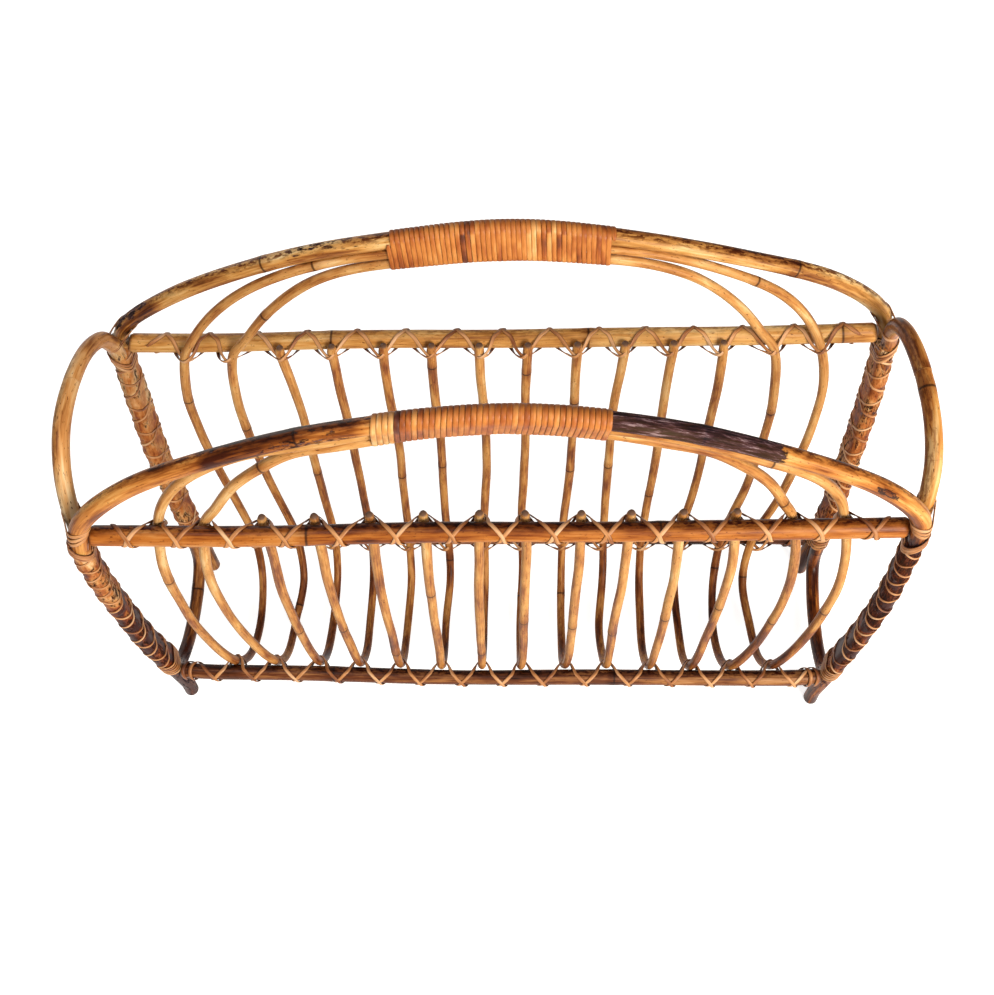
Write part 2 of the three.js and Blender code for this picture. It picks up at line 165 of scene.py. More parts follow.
def crossing(path, axis, value, above=-1):
    # where the path first passes a value of x, y or z, with its direction there
    for index in range(len(path) - 1):
        a, b = path[index], path[index + 1]
        if (a[axis] - value) * (b[axis] - value) <= 0 and a[axis] != b[axis] and (a[2] + b[2]) / 2 > above:
            return a + (b - a) * (value - a[axis]) / (b[axis] - a[axis]), unit(b - a)
    raise ValueError(f"the path doesn't pass {value} on axis {axis}")


def bulgeAt(height, bulge):
    return bulge * sin(pi * height / railHeight)


def legReach(side):
    return cornerReach - legOffset * cos(rack["cornerTurn"][side])


def cornerLine(offset, turn):
    # beside the middle line of the front right corner: the leg to the front, the hoop opposite
    middle = np.array([(cornerReach + bulgeAt(z * railHeight, rack["cornerBulge"]), -y * halfSpacing,
                        z * railHeight) for y, z in cornerShares])
    along = middle[np.minimum(np.arange(len(middle)) + 1, len(middle) - 1)]
    along = unit(along - middle[np.maximum(np.arange(len(middle)) - 1, 0)])
    inward = unit(np.stack([0 * along[:, 0], -along[:, 2], along[:, 1]], axis=1))
    return middle + (np.array([cos(turn), 0, 0]) + inward * sin(turn)) * offset


def handlePath(side):
    # as seen from the front: the back handle is turned round when its mesh is made
    reach, leg = legReach(side), cornerLine(-legOffset, rack["cornerTurn"][side])
    rise = [(x * reach, z * handleRise * tan(rack["handleLean"]) + leg[0][1],
             railHeight + z * handleRise) for x, z in handleShares]
    straight = rack["footStraight"]
    ankle = (reach + bulgeAt(straight, rack["cornerBulge"]), -rack["footSpread"] / 2, straight)
    half = [ankle, *leg[::-1], *rise]
    path = smoothPath([*mirrored(half), *half[:-1][::-1]])
    return np.vstack([path[0] * (1, 1, 0), path, path[-1] * (1, 1, 0)])


def hoopPath(end):
    halves = {}
    for side in ("front", "back"):
        corner = cornerLine(hoopOffset, rack["cornerTurn"][side])
        reach = cornerReach + rack["hoopOut"][end]
        top = [(reach + (corner[0][0] - reach) * y ** 3, -y * halfSpacing, railHeight + z * rack["hoopRise"])
               for y, z in hoopTopShares]
        foot = [(cornerReach + hoopOffset, -y * halfSpacing, z * railHeight) for y, z in hoopFootShares]
        halves[side] = [*top, *corner, *foot]
    return smoothPath([*halves["front"], *turnedBack(halves["back"][1:-1][::-1])], closed=True)


# drawn for the right and front; the others are turned round when their meshes are made
handleLines = {side: handlePath(side) for side in ("front", "back")}
hoopLines = {(end, "front"): hoopPath(end) for end in ("left", "right")}
hoopLines.update({(end, "back"): turnedBack(hoopLines[end, "front"])[::-1] for end in ("left", "right")})


def ribSide(place, bulge, drift):
    return [(place + bulgeAt(z * railHeight, bulge) + np.interp(z, driftLevels, drift), -y * ribReach,
             z * railHeight) for y, z in ribShares]


def stackPoint(side, share, sense, depth):
    # under the handle, at a share of its reach and a depth below it
    point, along = crossing(handleLines[side], 0, sense * share * legReach(side), railHeight)
    down = unit((along[2], 0, -along[0]) if along[0] > 0 else (-along[2], 0, along[0]))
    tilt = rack["stackTilt"][side] * (1 - rack["tiltFade"] * share ** 2)
    point = point + depth * (down * cos(tilt) + np.array([0, sin(tilt), 0]))
    return point if share else point * (0, 1, 1) + np.array([sense * rack["stackGap"], 0, 0])


archDroop = {("front", 1, 0): 0.92}  # by side, end and place from the end
archSettle = 0.6  # from this share of the rise on, a drifted arch is back in its place


def archSide(place, fromEnd, side, drift):
    # the rib's arch above the rail, from the middle of the handle down to the rail
    arches, stacks, depth = [(outerArchShares, outerStackShares, outerDepth),
                             (innerArchShares, innerStackShares, innerDepth)][fromEnd]
    stack = [stackPoint(side, share, np.sign(place), depth) for share in stacks]
    droop = archDroop.get((side, int(np.sign(place)), fromEnd), 1)
    arch = [(x * place + drift * max(0, 1 - z / archSettle), -ribReach + (stack[0][1] + ribReach) * z,
             railHeight + droop * z * handleRise) for x, z in arches]
    return [*stack[::-1], *arch[::-1]]


# No two ribs were bent alike: how far each drifts to the right at its seat on the bottom rail, at mid height
# and near the top, and on the top rail.
driftLevels = [0.163, 0.5, 0.8, 1]
ribDrift = {
    "front": [(6, 0, -2, 0), (4, -5, -7, -4), (3, 0, 0, -1), (2, 0, -1.5, -1.3), (1.5, 0.3, 0, 0),
              (1.5, 1, 0.5, 0.5), (1, 1, 1, 2.4), (0, 0.3, 0, -1.5), (2, 3, 1.5, 0.5), (1.7, 0, -1, -1),
              (3.4, 2, 0, -1.5), (2.8, 4.6, 3, -1), (-0.6, 7.8, 8, 1), (-1.7, 7, 7.5, 1)],
    "back": [(6.6, 3, -5, -1), (9, 4, -4.6, -1), (5, 5, 2.8, -2), (3.5, 3.5, 1.5, 0), (3, 4.5, 1.8, 1.8),
             (3.7, 2.5, 1.8, 1.5), (2, 4, 3.3, 1), (1, 1, 1, 1), (2, 4, 2.8, 1.5), (4.5, -1, -0.5, 0.8),
             (3, 2, 0.8, 0.8), (1, 3, 3.9, 1.5), (-1, 5, 7.5, 2.5), (-8, 2, 7.5, 1.5)],
}


def ribPath(index):
    place = (index - (ribCount - 1) / 2) * ribPitch
    fromEnd = min(index, ribCount - 1 - index)
    bulge = rack["ribBulge"] * (place / outerRibPlace) ** 2 + rack["outerBulge"] * (fromEnd < 2)
    seats = {side: ribSide(place, np.sign(place) * bulge, drift[index]) for side, drift in ribDrift.items()}
    if fromEnd > 1:
        path = smoothPath([*seats["front"], *turnedBack(seats["back"][:-1][::-1])])
        peg = np.array([0, 0, rack["pegRise"]])
        return np.vstack([path[0] + peg, path, path[-1] + peg])
    front, back = [[*archSide(place, fromEnd, side, drift[index][-1]), *seats[side]]
                   for side, drift in ribDrift.items()]
    return smoothPath([*front, *turnedBack(back[:-1][::-1])])


ribLines = [ribPath(index) for index in range(ribCount)]


def seatsAt(height):
    # where the front half of each rib passes a height, and its direction upwards there
    found = [crossing(path[:len(path) // 2], 2, height) for path in ribLines]
    return [(point, along * np.sign(along[2])) for point, along in found]


def makeRail(height, radius, bends=None):
    # a rail without bends is straight and outside the ribs' tops; one with bends lies against their outsides
    seats = seatsAt(height)
    inward, centre = np.array([0.0, 1, 0]), np.array([0, -halfSpacing, height])
    if bends:
        point, up = seats[ribCount // 2]
        inward = unit((0, up[2], -up[1]))
        centre = point - inward * (ribRadius + seatGap + radius)
    leg = crossing(handleLines["front"][::-1], 2, centre[2])[0]
    end = leg[0] - legRadius - seatGap
    half = [(end - rack["bottomRailBend"] * (1 - x), centre[1] + (leg[1] - centre[1]) * y, centre[2])
            for x, y in bends or [(1, 0)]]
    line = np.array([*mirrored(half)[::-1], *half])
    up = np.cross((1, 0, 0), inward)
    return {"radius": radius, "line": line, "seats": seats, "inward": inward, "up": up}


rails = {
    "top": makeRail(railHeight, topRailRadius),
    "bottom": makeRail(ribShares[4][1] * railHeight, rack["bottomRailRadius"], railBendShares),
}
print("curves ready")


# Handmade slackness: how far each corner of the rack has moved from its drawn place. What lies between
# follows and stays in touch. The first number is how steeply a level's lift grows towards the ends.
corners = [("left", "front"), ("right", "front"), ("left", "back"), ("right", "back")]
slack = {
    "floor": (4, [(0, 0, 0), (-2, -7, 0), (4, 1, 0), (7, -1, 0)]),
    "shin": (3, [(1, 1, 14), (-1, 1, 13), (0, 0, 3), (0, 0, 3)]),
    "rail": (1, [(-0.5, -1, -3), (-4.7, 1, 3.8), (-1.5, -1, 0), (1.8, 1, 6)]),
    "shoulder": (4, [(3, 0, 8), (0, 0, 6), (9, 0, 4), (-8, 0, 11)]),
    "crest": (1, [(0, 0, 4), (0, 0, 3), (0, 0, -4.5), (0, 0, 1)]),
}
# slow waves that bend everything together, each with its direction and length
sway = [((0, 0, 0.5), (0.9, 0.3, 0.4), 150), ((0, 0.5, 0), (0.8, 0.2, -0.5), 210),
        ((0.45, 0, 0), (0.2, 0.5, 0.8), 120)]
swayFade = 40  # no wave at the floor, a full one from this height on


def handmade(points):
    points = np.array(points, float)
    x = np.clip(points[:, 0] / cornerReach / 2 + 0.5, -0.1, 1.1)
    y = np.clip(points[:, 1] / halfSpacing / 2 + 0.5, -0.1, 1.1)
    low = np.clip(points[:, 2] / railHeight, 0, 1)
    high = np.clip((points[:, 2] - railHeight) / handleRise, 0, 1)
    levels = {"floor": 1 - low, "shin": 4 * low * (1 - low), "rail": low - high, "crest": high,
              "shoulder": 4 * high * (1 - high)}
    moved = points.copy()
    for level, (steepness, shifts) in slack.items():
        for (end, side), shift in zip(corners, shifts):
            near = x if end == "right" else 1 - x
            share = (y if side == "back" else 1 - y) * levels[level]
            pull = np.stack([near ** 4, near, near ** steepness], axis=1)
            moved += pull * share[:, None] * np.array(shift)
    offFloor = np.clip(points[:, 2] / swayFade, 0, 1)
    for shift, direction, length in sway:
        wave = offFloor * np.sin(points @ unit(direction) * 2 * pi / length)
        moved += wave[:, None] * np.array(shift)
    return moved


# Meshes

def wander(places, seed, longest, amplitude):
    # a slow seeded wobble along a length
    chance = np.random.default_rng(seed)
    waves = [(longest, 0.6), (longest / 2.3, 0.28), (longest / 4.1, 0.12)]
    return amplitude * sum(share * np.sin(places * 2 * pi / wave + chance.uniform(0, 6.3))
                           for wave, share in waves)


def nearEnd(place, reach):
    # 1 at either end of a length, and 0 from the reach inwards
    return np.clip(1 - np.minimum(place, place[-1] - place) / reach, 0, 1)


def carriedFrames(path, outward, closed=False):
    # a direction carried along a path without twist
    along = tangents(path, closed)
    out = np.zeros_like(path)
    out[0] = unit(outward - along[0] * np.dot(outward, along[0]))
    for k in range(1, len(path)):
        out[k] = out[k - 1] - along[k] * np.dot(out[k - 1], along[k])
        out[k] /= np.linalg.norm(out[k])
    return along, out, np.cross(along, out)


def ringMesh(name, rings, closed, values):
    # rings of corners joined to a skin, closed at the piece's ends, with values per ring or per corner
    count, around = rings.shape[:2]
    here = np.arange(count * around).reshape(count, around)
    if closed:
        here = np.vstack([here, here[:1]])
    a, b = here[:-1], here[1:]
    faces = np.stack([a, np.roll(a, -1, axis=1), np.roll(b, -1, axis=1), b], axis=-1).reshape(-1, 4).tolist()
    if not closed:
        faces += [here[0][::-1].tolist(), here[-1].tolist()]
    mesh = bpy.data.meshes.new(name)
    mesh.from_pydata((handmade(rings.reshape(-1, 3)) * mm).tolist(), [], faces)
    for key, value in values.items():
        value = np.asarray(value, np.float32)
        if value.ndim == 3:
            mesh.attributes.new(key, "FLOAT_VECTOR", "POINT").data.foreach_set("vector", value.ravel())
        else:
            value = np.broadcast_to(value.reshape(count, -1), (count, around))
            mesh.attributes.new(key, "FLOAT", "POINT").data.foreach_set("value", value.ravel())
    outwards = bmesh.new()
    outwards.from_mesh(mesh)
    bmesh.ops.recalc_face_normals(outwards, faces=outwards.faces)
    outwards.to_mesh(mesh)
    outwards.free()
    mesh.shade_smooth()
    return mesh


def addObject(name, data):
    added = bpy.data.objects.new(name, data)
    bpy.context.scene.collection.objects.link(added)
    return added


def dress(mesh, material, slot, *nodes):
    piece = addObject(mesh.name, mesh)
    mesh.materials.append(material)
    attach(piece, "root")
    if nodes:
        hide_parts(*nodes)


markFade = 7  # how far inside its box a mark reaches full strength


def stretches(path, marks):
    # how strongly each point lies in the marked boxes, each with its ranges of x, y and z and a strength
    share = np.zeros(len(path))
    for *box, strength in marks:
        low, high = np.array(box, float).T
        inside = np.minimum(path - low, high - path).min(axis=1)
        share = np.maximum(share, strength * np.clip(inside / markFade, 0, 1))
    return share


# What all canes share: joints swell and carry a ring scar, sawn ends are rounded off, and knots are oval.
cane = {
    "firstJoint": 0.6, "markedGap": 75, "swellReach": 3.2, "scarReach": 0.7, "scarDepth": 0.02,
    "sawnDepth": 0.8, "endRound": 1.2, "endDrop": 0.16, "pegTaper": 5, "straightEnd": 30, "oval": 0.018,
    "toneWave": (180, 0.25), "swellWave": 150, "crookWaves": (210, 170), "ovalWave": (300, 2),
    "knotLength": 7.2, "knotWidth": 1.7, "knotSwell": 0.4, "knotGroove": 0.25,
}


def jointPlaces(look, total, chance):
    # the joints that stand out, and others where they fall, clear of those
    marked = look.get("joints", [])
    joints = list(marked)
    spot = chance.uniform(*look["internode"]) * cane["firstJoint"]
    while spot < total:
        if all(abs(spot - joint) > cane["markedGap"] for joint in marked):
            joints.append(spot)
        spot += chance.uniform(*look["internode"])
    return np.array(sorted(joints) or [-1000.0])


def caneMesh(name, path, radius, look, seed, closed=False):
    # a round cane with its joints, where the skin swells and a ring scar runs round
    chance = np.random.default_rng(seed)
    path = evenly(path, look["step"], closed)
    place = lengthAlong(path)
    joints = jointPlaces(look, place[-1], chance)
    offsets = place[:, None] - joints[None, :]
    fromJoint = offsets[np.arange(len(place)), np.abs(offsets).argmin(axis=1)]
    tones = chance.uniform(-1, 1, len(joints) + 1)
    tone = tones[(offsets > 0).sum(axis=1)] * look["toneSpread"] + wander(place, seed + 5, *cane["toneWave"])
    swell = 1 + look["swell"] * np.exp(-(fromJoint / cane["swellReach"]) ** 2)
    swell = swell - cane["scarDepth"] * np.exp(-(fromJoint / cane["scarReach"]) ** 2)
    swell = swell + wander(place, seed + 1, cane["swellWave"], look["uneven"])
    if not closed:
        rounded = cane["endDrop"] * nearEnd(place, cane["endRound"]) ** 2
        swell = swell * (1 - rounded - look.get("pegTaper", 0) * nearEnd(place, cane["pegTaper"]))
    along, out, side = carriedFrames(path, np.array(look.get("outward", (0, 1, 0)), float), closed)
    straighten = 1 if closed else 1 - nearEnd(place, cane["straightEnd"])
    for which, (direction, longest) in enumerate(zip((out, side), cane["crookWaves"])):
        crook = wander(place, seed + 2 + which, longest, look["crook"]) * straighten
        path = path + direction * crook[:, None]
    if closed:
        # the wobble is eased out, so that the loop meets itself
        path = path + (path[0] - path[-1]) * (place / place[-1])[:, None] ** 6 * 0.5
    angle = np.arange(look["sides"]) * 2 * pi / look["sides"]
    twist = wander(place, seed + 4, *cane["ovalWave"])[:, None]
    reach = radius * swell[:, None] * (1 + cane["oval"] * np.cos(2 * angle + twist))
    knot = np.zeros_like(reach)
    for spot, facing in look.get("knots", []):
        # a healed side shoot: nearness is 2 at its middle and 1 on its oval rim
        k = np.linalg.norm(path - spot, axis=1).argmin()
        middle = atan2(np.dot(facing, side[k]), np.dot(facing, out[k]))
        turned = (angle - middle + pi) % (2 * pi) - pi
        lengthwise = (place - place[k])[:, None] / cane["knotLength"]
        away = np.hypot(lengthwise, turned * radius / cane["knotWidth"])
        knot = np.maximum(knot, 2 - away)
        reach = reach + cane["knotSwell"] * np.exp(-(away / 0.9) ** 2)
        reach = reach - cane["knotGroove"] * np.exp(-((away - 1) / 0.3) ** 2)
    a, b = reach * np.cos(angle), reach * np.sin(angle)
    rings = path[:, None] + a[..., None] * out[:, None] + b[..., None] * side[:, None]
    grain = np.stack(np.broadcast_arrays(a, b, place[:, None]), axis=-1)
    return ringMesh(name, rings, closed, {
        "grain": grain + chance.uniform(0, 900), "fromJoint": fromJoint,
        "tone": tone - stretches(path, look.get("shades", [])),
        "stain": stretches(path, look.get("stains", [])),
        "cutEnd": 0 * place if closed else nearEnd(place, cane["sawnDepth"]), "knot": knot})


# a split cane's section in shares of its width and thickness, and how it wavers and ends
bandShape = np.array([(-0.5, 0), (-0.5, 0.38), (-0.4, 0.72), (-0.2, 0.95), (0, 1), (0.2, 0.95), (0.4, 0.72),
                      (0.5, 0.38), (0.5, 0)])
band = {"wave": (60, 0.06), "endTaper": 0.5, "taperLength": 3}


def bandMesh(name, path, outward, strip, seed, tone, step=1.2):
    # split cane: flat inside, with the cane's own round skin outside
    path, outward, tone = evenly(path, step, False, outward, np.asarray(tone, float)[:, None])
    place = lengthAlong(path)
    along = tangents(path)
    across = unit(np.cross(along, outward))
    out = unit(np.cross(across, along))
    taper = 1 - band["endTaper"] * nearEnd(place, band["taperLength"])
    narrow = (1 + wander(place, seed, *band["wave"])) * taper
    side = narrow[:, None] * bandShape[:, 0] * strip["width"]
    side, rise, edge, along = np.broadcast_arrays(
        side, bandShape[:, 1] * strip["thickness"], np.abs(bandShape[:, 0]) * 2, place[:, None])
    rings = path[:, None] + side[..., None] * across[:, None] + rise[..., None] * out[:, None]
    grain = np.stack([side, rise, along], axis=-1)
    return ringMesh(name, rings, False, {"grain": grain + seed * 17.3, "tone": tone, "edge": edge})


# Materials

def hexColour(text):
    channels = [int(text[k:k + 2], 16) / 255 for k in (1, 3, 5)]
    return [c / 12.92 if c <= 0.04045 else ((c + 0.055) / 1.055) ** 2.4 for c in channels] + [1]


def addNode(tree, kind, *sockets, **settings):
    # a socket or setting takes a value, a node, or a node with the name of one of its outputs
    node = tree.nodes.new("ShaderNode" + kind)
    for key, value in [*settings.items(), *enumerate(sockets)]:
        isPair = isinstance(value, tuple) and isinstance(value[0], bpy.types.Node)
        source, output = value if isPair else (value, 0)
        if isinstance(source, bpy.types.Node):
            tree.links.new(source.outputs[output], node.inputs[key])
        elif isinstance(key, int) or key in node.inputs:
            node.inputs[key].default_value = value
        else:
            setattr(node, key, value)
    return node


def newMaterial(name):
    material = bpy.data.materials.new(name)
    material.use_nodes = True
    material.node_tree.nodes.clear()
    return material, partial(addNode, material.node_tree)


def setRamp(ramp, places, colours):
    elements = ramp.color_ramp.elements
    while len(elements) < len(places):
        elements.new(0.5)
    for element, place, colour in zip(elements, places, colours):
        element.position = place
        element.color = hexColour(colour) if isinstance(colour, str) else (colour, colour, colour, 1)
    return ramp


def grainPatterns(add, grain, *sizes):
    # uneven patterns drawn out along the fibres: width and length in millimetres, detail and roughness
    patterns = []
    for width, length, detail, roughness in sizes:
        drawn = add("VectorMath", grain, (1 / width, 1 / width, 1 / length), operation="MULTIPLY")
        patterns.append(add("TexNoise", drawn, Scale=1, Detail=detail, Roughness=roughness))
    return patterns


def caneColour(add, look, fibres, patches, tone, lift=None):
    # how pale each place is: patches, the tone of the whole stretch, the height and fine streaks together
    level = add("MapRange", patches, 0.32, 0.68, -0.5, 0.5)
    mixed = add("Math", level, look["patchiness"], look["lightness"], operation="MULTIPLY_ADD")
    mixed = add("Math", tone, look["toneShare"], mixed, operation="MULTIPLY_ADD")
    if lift:
        mixed = add("Math", mixed, lift, operation="ADD")
    fine = add("MapRange", fibres, 0.3, 0.7, -look["streak"], look["streak"])
    mixed = add("Math", mixed, fine, operation="ADD", use_clamp=True)
    return setRamp(add("ValToRGB", mixed), look["places"], look["colours"])


def varnishedCane(name, look):
    # Peeled rattan under old varnish: the long fibres show as fine lengthwise streaks, each joint as a dark
    # ring scar, and the varnish as an amber depth with a soft highlight along the cane.
    material, add = newMaterial(name)
    grain = (add("Attribute", attribute_name="grain"), "Vector")  # a place in millimetres, across and along
    tone, joint, stain, cutEnd, knot = [(add("Attribute", attribute_name=key), "Fac")
                                        for key in ("tone", "fromJoint", "stain", "cutEnd", "knot")]
    fibres, patches, flecks, wear, soot = grainPatterns(
        add, grain, (look["fibre"], 28, 4, 0.62), (7, look["blotch"], 3, 0.6), (0.9, 2.6, 2, 0.5),
        (1.9, 5, 4, 0.65), (1.5, 11, 5, 0.7))
    geometry = add("NewGeometry")
    height = add("SeparateXYZ", (geometry, "Position"))
    low, high, drop = look["height"]
    lift = add("MapRange", (height, "Z"), low * mm, high * mm, -drop, 0.0)
    shade = caneColour(add, look, fibres, patches, tone, lift)
    # dark flecks where the skin was nicked
    nick = setRamp(add("ValToRGB", flecks), (0.63, 0.74), (0.0, look["flecks"]))
    # the ring scar and the brown breath around it; on the peel they paint the shadow just below each turn's
    # edge
    away = add("Math", joint, operation="ABSOLUTE")
    ring = add("MapRange", away, 0.35, 1.0, look["ring"], 0.0)
    breath = add("MapRange", away, 0.5, 7, look["ring"] * 0.45, 0.0)
    # the side facing up and back, away from the key light, is darkened: painted shade, broken into specks
    # and patches of dust
    facing = add("VectorMath", (geometry, "Normal"), look["shadedSide"], operation="DOT_PRODUCT")
    start = look["shadeFrom"]
    shadedFacing = add("MapRange", (facing, "Value"), start, start + 0.9, 0.0, look["dustAndShade"])
    worn = add("MapRange", wear, 0.46, 0.57, 1 - look["mottle"], 1.2)
    dustAndShade = add("Math", shadedFacing, worn, operation="MULTIPLY", use_clamp=True)
    # scorched stretches: the stronger the scorch, the more of the skin is black, purple and raw brown; the
    # palest char colours are painted sheen on the blistered varnish
    ragged = add("Math", patches, wear, operation="ADD")
    hold = add("MapRange", ragged, 0.75, 1.2, 1.1, 0.05)
    burnt = add("Math", stain, hold, operation="SUBTRACT")
    scorch = add("MapRange", burnt, 0.0, 0.22, 0.0, 0.94)
    charAndSheen = setRamp(add("ValToRGB", soot), look["charAndSheenPlaces"], look["charAndSheen"])
    # a knot is brown inside its dark uneven rim
    inside = add("MapRange", knot, 0.9, 1.2, 0.0, 0.8)
    uneven = add("MapRange", flecks, 0.3, 0.7, -1.45, -0.75)
    rim = add("Math", knot, uneven, operation="ADD")
    rim = add("Math", rim, operation="ABSOLUTE")
    rim = add("MapRange", rim, 0.14, 0.34, 0.9, 0.0)
    for mask, blend, paint in (
            (nick, "MULTIPLY", "#6a2e0c"), (ring, "MIX", "#2c1409"), (breath, "MULTIPLY", "#8f4f1c"),
            (dustAndShade, "MULTIPLY", look["dustAndShadeColour"]), (scorch, "MIX", charAndSheen), (inside, "MULTIPLY", "#7c5434"),
            (rim, "MIX", "#26110a"), (cutEnd, "MIX", "#6f5240")):
        paint = hexColour(paint) if isinstance(paint, str) else paint
        shade = add("MixRGB", mask, shade, paint, blend_type=blend)
    # fibres and flecks stand a few hundredths of a millimetre proud, and charred varnish has blistered
    blister = add("Math", scorch, soot, operation="MULTIPLY")
    bump = None
    for relief, strength, depth in ((fibres, 0.35, 0.12), (flecks, 0.25, 0.2), (blister, 0.85, 1.8)):
        below = {"Normal": bump} if bump else {}
        bump = add("Bump", Height=relief, Strength=strength, Distance=depth * mm, **below)
    gloss = add("MapRange", patches, 0.3, 0.7, look["roughness"] - 0.07, look["roughness"] + 0.1)
    gloss = add("Math", scorch, 0.4, gloss, operation="MULTIPLY_ADD")  # charred varnish is dull
    surface = add("BsdfPrincipled", IOR=1.45, Roughness=gloss, Normal=bump, **{
        "Base Color": shade, "Specular IOR Level": look["specular"], "Coat Weight": look["varnish"],
        "Coat Roughness": 0.25})
    add("OutputMaterial", Surface=surface)
    return material


def splitCane(name, look):
    # Split cane, the vine's shiny skin: pale in the middle, browner at its cut edges, no two turns alike.
    material, add = newMaterial(name)
    grain = (add("Attribute", attribute_name="grain"), "Vector")
    tone, edge = [(add("Attribute", attribute_name=key), "Fac") for key in ("tone", "edge")]
    fibres, patches = grainPatterns(add, grain, (0.35, 22, 3, 0.6), (6, look["blotch"], 2, 0.5))
    shade = caneColour(add, look, fibres, patches, tone)
    rim = add("MapRange", edge, 0.72, 1.0, 0.0, look["rim"])
    geometry = add("NewGeometry")
    # the side facing up and back is darkened: painted shade
    facing = add("VectorMath", (geometry, "Normal"), look["shadedSide"], operation="DOT_PRODUCT")
    dustAndShade = add("MapRange", (facing, "Value"), 0.0, 0.95, 0.0, look["dustAndShade"])
    for mask, paint in ((rim, "#5e3010"), (dustAndShade, "#6b3417")):
        shade = add("MixRGB", mask, shade, hexColour(paint), blend_type="MULTIPLY")
    bump = add("Bump", Height=fibres, Strength=0.3, Distance=0.08 * mm)
    surface = add("BsdfPrincipled", IOR=1.5, Roughness=look["roughness"], Normal=bump, **{
        "Base Color": shade, "Specular IOR Level": 0.35, "Coat Weight": look["varnish"],
        "Coat Roughness": 0.2})
    add("OutputMaterial", Surface=surface)
    return material


# Canes

handleLook = {
    "step": 1.6, "sides": 28, "internode": (110, 190), "swell": 0.05, "uneven": 0.02, "crook": 0,
    "toneSpread": 0.8, "fibre": 1.1, "blotch": 45, "patchiness": 0.75, "lightness": 0.55, "toneShare": 0.22,
    "streak": 0.16, "flecks": 0.75, "ring": 0.8, "roughness": 0.38, "specular": 0.17, "varnish": 0.03,
    "height": (20, 240, 0.35), "mottle": 0.9,
    # scorch colours from black to lavender grey; the palest are painted sheen
    "charAndSheenPlaces": (0.38, 0.49, 0.57, 0.66), "charAndSheen": ("#0b0507", "#29151b", "#563a40", "#a38a8c"),
    # the side facing up and back is darkened: painted shade, with specks of dust
    "shadedSide": (0, 0.85, 0.53), "dustAndShade": 0.95, "shadeFrom": -0.2, "dustAndShadeColour": "#64402a",
    "places": (0, 0.28, 0.52, 0.78, 1), "colours": ("#421a0a", "#8f4d1c", "#c9803a", "#e2a65a", "#f4cc8c"),
}
strawHandleLook = dict(
    handleLook, lightness=0.6, dustAndShade=1.0, shadeFrom=-0.5, dustAndShadeColour="#7a563c", flecks=0.9,
    colours=("#4a2010", "#985c2a", "#cf934c", "#e6b672", "#f7dba6"))
hoopLook = dict(
    handleLook, lightness=0.62, internode=(130, 210), outward=(1, 0, 0), flecks=0.95,
    # on the hoops the side facing left is darkened: painted shade
    shadedSide=(-0.95, 0, 0.3), dustAndShade=0.45, mottle=0.7,
    colours=("#4a2010", "#945a2a", "#cb8c4e", "#dfac70", "#eecb98"))
darkHoopLook = dict(hoopLook, lightness=0.5, dustAndShade=0.65, mottle=0.3, dustAndShadeColour="#6b3d20",
                    colours=handleLook["colours"])
railLook = dict(
    handleLook, step=2, internode=(150, 230), lightness=0.37, patchiness=0.5, height=(0, 1, 0),
    dustAndShade=1.0, mottle=0.35, dustAndShadeColour="#522412",
    places=(0, 0.3, 0.55, 0.8, 1), colours=("#3a1407", "#874416", "#b96f2c", "#d29250", "#e8b880"))
strawRailLook = dict(
    railLook, lightness=0.68, dustAndShade=0.5, mottle=0.8, dustAndShadeColour="#7a4c2c",
    colours=("#4a2010", "#985c26", "#cc8f49", "#e2b06a", "#f2cf94"))
lowRailLook = dict(
    railLook, lightness=0.22, dustAndShade=0.9,
    places=(0, 0.3, 0.55, 1), colours=("#2c1208", "#6b3a20", "#a8703f", "#e0b283"))
ribLook = dict(
    handleLook, sides=18, internode=(150, 320), swell=0.07, uneven=0.04, crook=0.45, fibre=0.8, blotch=30,
    lightness=0.58, patchiness=0.55, toneSpread=0.55, height=(10, 200, 0.3), roughness=0.45, dustAndShade=0.5,
    mottle=0.6, pegTaper=0.24,
    colours=("#421a0c", "#8e5026", "#c58646", "#dfa864", "#efca90"))

leg, strawLeg, hoop, darkHoop, rail, strawRail, lowRail, ribMaterial = [
    varnishedCane(f"varnished{name}Cane", look) for name, look in (
        ("Leg", handleLook), ("Straw", strawHandleLook), ("Hoop", hoopLook), ("DarkHoop", darkHoopLook),
        ("Rail", railLook), ("StrawRail", strawRailLook), ("LowRail", lowRailLook), ("Rib", ribLook))]
legMaterials = {"front": leg, "back": strawLeg}
hoopMaterials = {"left": hoop, "right": darkHoop}
railMaterials = {"top": {"front": rail, "back": strawRail}, "bottom": {"front": lowRail, "back": lowRail}}

# Where the rack is scorched, and where its varnish is darker: ranges of x, y and z, and how strongly.
leftEnd, rightEnd = (-270, -190), (190, 270)
frontLegs, backLegs, frontHalf, backHalf = (-200, -20), (20, 200), (-200, 0), (0, 200)
scorches = [
    ((42, 138), frontHalf, (280, 400), 1.3), ((-150, -64), frontHalf, (280, 400), 0.33),
    ((180, 212), frontHalf, (300, 400), 0.3), (rightEnd, frontLegs, (125, 262), 0.72),
    (rightEnd, frontLegs, (25, 130), 0.4), (leftEnd, frontLegs, (60, 150), 0.62),
    (leftEnd, frontLegs, (140, 235), 0.3), (rightEnd, backLegs, (60, 262), 0.35),
    (leftEnd, backLegs, (60, 262), 0.25), ((-260, -205), (60, 200), (262, 320), 0.5),
    ((-120, -70), backHalf, (320, 400), 0.3), (leftEnd, frontLegs, (-20, 48), 0.55),
    (rightEnd, frontLegs, (-20, 48), 0.25),
]
